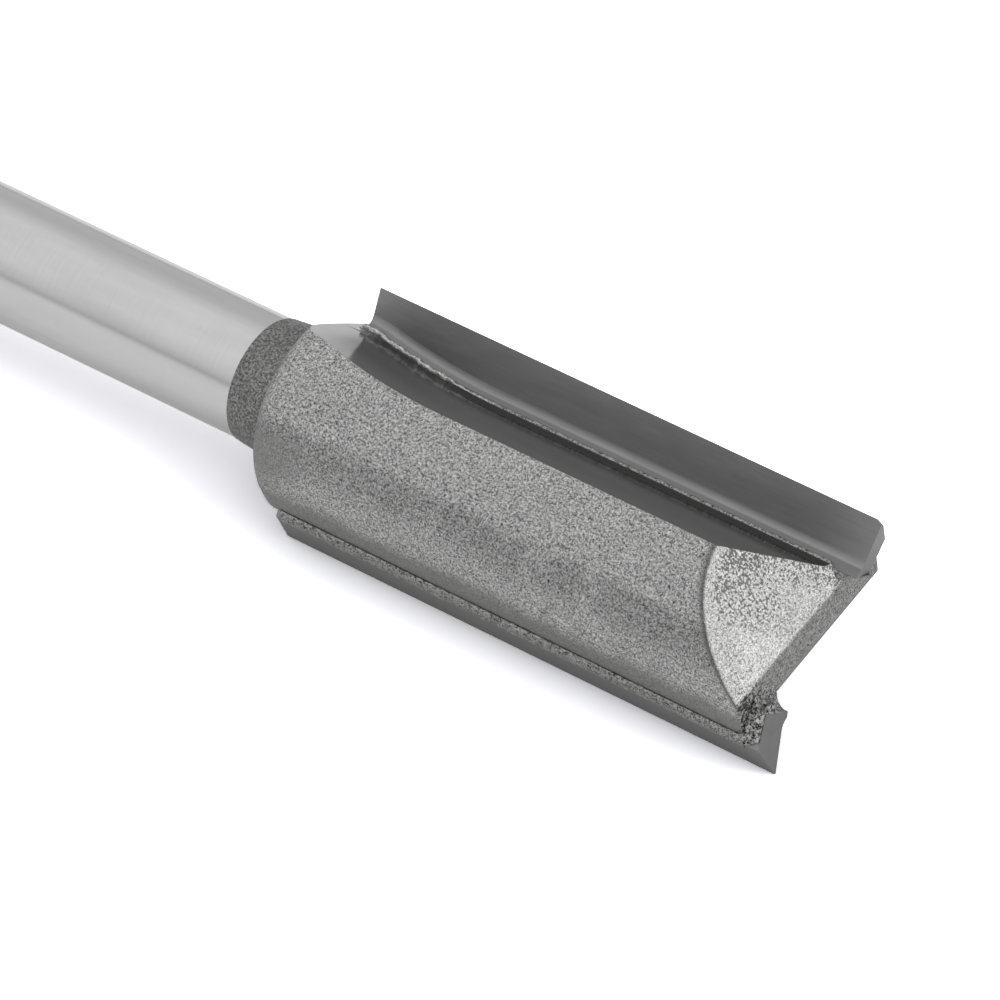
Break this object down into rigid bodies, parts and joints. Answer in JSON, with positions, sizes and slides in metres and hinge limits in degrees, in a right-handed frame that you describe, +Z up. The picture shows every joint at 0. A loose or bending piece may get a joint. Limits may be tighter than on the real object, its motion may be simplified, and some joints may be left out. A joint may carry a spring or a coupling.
{
  "type": "straight router bit",
  "caption": "Straight router bit: ground shank, blasted body with straight flutes, and brazed carbide tips that stand past its end; lying on its side as it comes to rest.",
  "frame": {"origin": "centre of the bit's footprint, on the surface that it lies on", "axes": "+X along the bit's axis toward the cutting end, +Z up, the shank's free end at -X"},
  "size_m": [0.0649, 0.011, 0.0105],
  "materials": {
    "steel": "ground bright on the shank and in the flutes, grit-blasted matt grey on the neck, body and end",
    "carbide": "finely ground dark grey, with faint grinding lines along the edge",
    "silver_solder": "rough as it froze, blasted dull silver"
  },
  "bodies": {
    "root": {"shank_and_body": "steel", "upper_carbide_tip": "carbide", "lower_carbide_tip": "carbide", "upper_braze": "silver_solder", "lower_braze": "silver_solder"}
  },
  "joints": []
}
